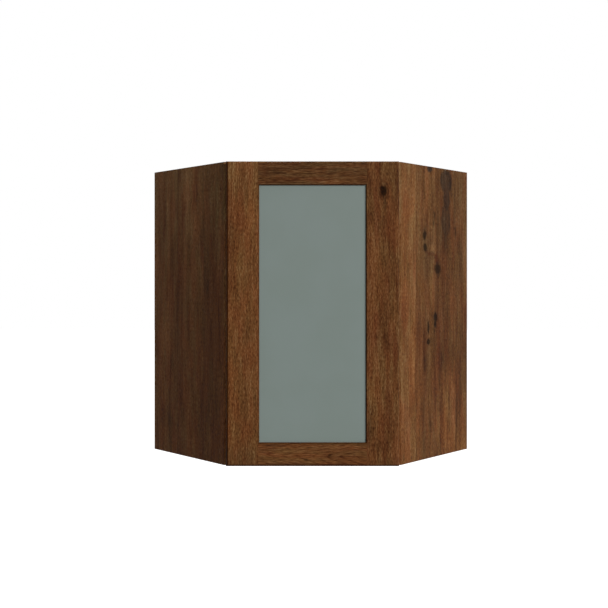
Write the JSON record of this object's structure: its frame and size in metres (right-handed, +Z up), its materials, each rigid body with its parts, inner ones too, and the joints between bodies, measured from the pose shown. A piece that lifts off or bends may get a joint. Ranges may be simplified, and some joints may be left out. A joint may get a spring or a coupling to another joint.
{
  "type": "corner wall cabinet",
  "caption": "Diagonal corner wall cabinet in stained knotty wood, with a framed frosted-glass door on concealed hinges and adjustable shelves.",
  "frame": {"origin": "centre of the bounding box's footprint, at the lower edge of the cabinet", "axes": "+Z up, the door faces -Y, +X to the right when facing the door; the room corner is at +Y"},
  "size_m": [0.8622, 0.6616, 0.762],
  "materials": {
    "knotty_wood": "dark brown stain under satin lacquer, knots and pore dashes",
    "panel_wood": "stained veneered board, satin",
    "backing_ply": "thin stained plywood",
    "frame_softwood": "planed softwood, unfinished",
    "dowel_beech": "fluted beech, unfinished",
    "frosted_glass": "etched on one side, grey-green",
    "seal_rubber": "matt black glazing tape",
    "nickel": "nickel-plated steel and zinc",
    "zinc_steel": "bright zinc-plated steel",
    "brass": "plain brass",
    "bumper_plastic": "clear soft pad"
  },
  "bodies": {
    "cabinet": {"left_end_panel": "knotty_wood", "right_end_panel": "knotty_wood", "top_panel": "panel_wood", "bottom_panel": "panel_wood", "back_panel_left": "backing_ply", "back_panel_right": "backing_ply", "hanging_rail_top_left": "frame_softwood", "hanging_rail_top_right": "frame_softwood", "hanging_rail_bottom_left": "frame_softwood", "hanging_rail_bottom_right": "frame_softwood", "rail_screws": "zinc_steel", "corner_post": "panel_wood", "glue_blocks": "frame_softwood", "frame_stile_left": "knotty_wood", "frame_stile_right": "knotty_wood", "frame_rail_top": "knotty_wood", "frame_rail_bottom": "knotty_wood", "frame_dowels": "dowel_beech", "shelf_pins": "nickel", "hinge_plates": "nickel", "hinge_plate_screws": "nickel", "hinge_arms": "nickel", "hinge_adjusters": "nickel"},
    "door": {"hinge_cups": "nickel", "hinge_cup_screws": "nickel", "hinge_pins": "zinc_steel", "hinge_springs": "zinc_steel", "door_left_stile": "knotty_wood", "door_right_stile": "knotty_wood", "door_top_rail": "knotty_wood", "door_bottom_rail": "knotty_wood", "glass_seal": "seal_rubber", "glass_pane": "frosted_glass", "glazing_bead_left": "knotty_wood", "glazing_bead_right": "knotty_wood", "glazing_bead_top": "knotty_wood", "glazing_bead_bottom": "knotty_wood", "bead_nails": "brass", "door_bumpers": "bumper_plastic"},
    "lower_shelf": {"shelf_lower": "panel_wood", "shelf_edging_lower": "knotty_wood"},
    "upper_shelf": {"shelf_upper": "panel_wood", "shelf_edging_upper": "knotty_wood"}
  },
  "joints": [
    {"name": "door_hinge", "type": "hinge", "parent": "cabinet", "child": "door", "pos_m": [-0.20706, -0.31982, 0.381], "axis": [0, 0, -1], "range_deg": [0, 105]},
    {"name": "lower_shelf_lift", "type": "slide", "parent": "cabinet", "child": "lower_shelf", "axis": [0, 0, 1], "range_m": [0, 0.025]},
    {"name": "upper_shelf_lift", "type": "slide", "parent": "cabinet", "child": "upper_shelf", "axis": [0, 0, 1], "range_m": [0, 0.025]}
  ]
}
